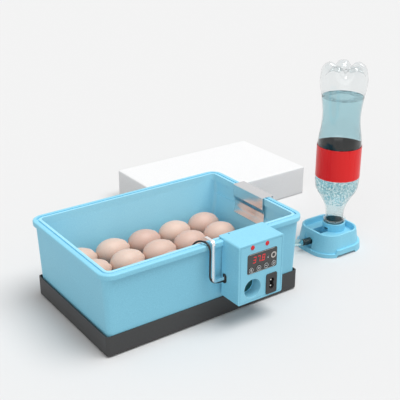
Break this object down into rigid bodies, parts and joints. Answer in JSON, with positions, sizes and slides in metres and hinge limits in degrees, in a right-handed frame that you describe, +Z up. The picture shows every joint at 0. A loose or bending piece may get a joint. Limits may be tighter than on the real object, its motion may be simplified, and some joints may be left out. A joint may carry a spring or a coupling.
{
  "type": "egg incubator",
  "caption": "Water-bed egg incubator: insulated basin in a tray, hook-on digital controller, inverted-bottle water feeder on a hose, foam lid set aside.",
  "frame": {"origin": "underside of the tray's centre foot, on the surface the incubator stands on", "axes": "+X along the basin's long side towards the feeder, +Y from the controller side towards the back, +Z up"},
  "size_m": [0.6155, 0.528, 0.3237],
  "materials": {
    "blue_plastic": "satin light-blue polypropylene with a fine moulded grain",
    "tray_plastic": "matt black polypropylene",
    "foot_rubber": "matt rubber",
    "mat_foam": "closed-cell foam mat",
    "jacket_foam": "foamed insulation",
    "lid_foam": "smooth white foam, slightly translucent",
    "film": "printed heating film",
    "bed_film": "water-filled vinyl bag",
    "egg_shell": "satin eggshell, pinkish beige",
    "screw_blue": "painted screw",
    "window": "smoked glossy window",
    "digits": "lit red digits behind the window",
    "key_plastic": "gloss keys",
    "board": "green circuit board",
    "led": "red lamp",
    "component": "moulded components",
    "core": "laminated core",
    "candler": "blue tube",
    "lens": "dark green lens",
    "inlet": "dark grey nylon",
    "brass": "plated pins",
    "bright_steel": "polished",
    "lead": "black lead",
    "nylon": "black nylon fittings",
    "hose": "clear soft tube",
    "pet": "clear bottle",
    "water": "clear water",
    "label": "plain red sleeve"
  },
  "bodies": {
    "basin": {"tray": "tray_plastic", "tray_feet": "foot_rubber", "tray_pad": "mat_foam", "outer_shell": "blue_plastic", "inner_liner": "blue_plastic", "insulation_jacket": "jacket_foam", "heating_film": "film", "water_bed": "bed_film", "wall_barb": "nylon", "wall_barb_seal": "foot_rubber", "wall_barb_nut": "nylon", "water_hose": "hose", "feeder_bowl": "blue_plastic", "feeder_base": "blue_plastic", "bottle_collar": "blue_plastic", "feeder_barb": "nylon", "feeder_barb_seal": "foot_rubber"},
    "controller": {"controller_case": "blue_plastic", "saddle_screw": "screw_blue", "front_panel": "blue_plastic", "display_window": "window", "digit_display": "digits", "key_board": "board", "indicator_leds": "led", "main_board": "board", "relay": "component", "transformer": "core", "buzzer": "component", "candler_tube": "candler", "candler_lens": "lens", "candler_led": "board", "power_inlet": "inlet", "inlet_pins": "brass", "hook_rod": "bright_steel", "lead_grommet": "foot_rubber", "probe_lead": "lead", "probe_capsule": "bright_steel"},
    "bottle": {"bottle": "pet", "bottle_water": "water", "bottle_label": "label", "bottle_cap": "nylon"},
    "lid": {"foam_lid": "lid_foam"},
    "eggs": {"eggs": "egg_shell"},
    "clip": {"rim_clip": "bright_steel"},
    "key_1": {"key_1": "key_plastic"},
    "key_2": {"key_2": "key_plastic"},
    "key_3": {"key_3": "key_plastic"},
    "key_4": {"key_4": "key_plastic"},
    "round_key": {"round_key": "key_plastic"}
  },
  "joints": [
    {"name": "controller_lift", "type": "slide", "parent": "basin", "child": "controller", "axis": [0, 0, 1], "range_m": [0, 0.12]},
    {"name": "bottle_lift", "type": "slide", "parent": "basin", "child": "bottle", "axis": [0, 0, 1], "range_m": [0, 0.2]},
    {"name": "lid_lift", "type": "slide", "parent": "basin", "child": "lid", "axis": [0, 0, 1], "range_m": [0, 0.2]},
    {"name": "egg_lift", "type": "slide", "parent": "basin", "child": "eggs", "axis": [0, 0, 1], "range_m": [0, 0.12]},
    {"name": "clip_slide", "type": "slide", "parent": "basin", "child": "clip", "axis": [0, 1, 0], "range_m": [-0.04, 0.04]},
    {"name": "key_1_press", "type": "slide", "parent": "controller", "child": "key_1", "axis": [0, 1, 0], "range_m": [0, 0.0005], "stiffness_N_per_m": 500, "springref_m": -0.0004},
    {"name": "key_2_press", "type": "slide", "parent": "controller", "child": "key_2", "axis": [0, 1, 0], "range_m": [0, 0.0005], "stiffness_N_per_m": 500, "springref_m": -0.0004},
    {"name": "key_3_press", "type": "slide", "parent": "controller", "child": "key_3", "axis": [0, 1, 0], "range_m": [0, 0.0005], "stiffness_N_per_m": 500, "springref_m": -0.0004},
    {"name": "key_4_press", "type": "slide", "parent": "controller", "child": "key_4", "axis": [0, 1, 0], "range_m": [0, 0.0005], "stiffness_N_per_m": 500, "springref_m": -0.0004},
    {"name": "round_key_press", "type": "slide", "parent": "controller", "child": "round_key", "axis": [0, 1, 0], "range_m": [0, 0.0005], "stiffness_N_per_m": 500, "springref_m": -0.0004}
  ]
}
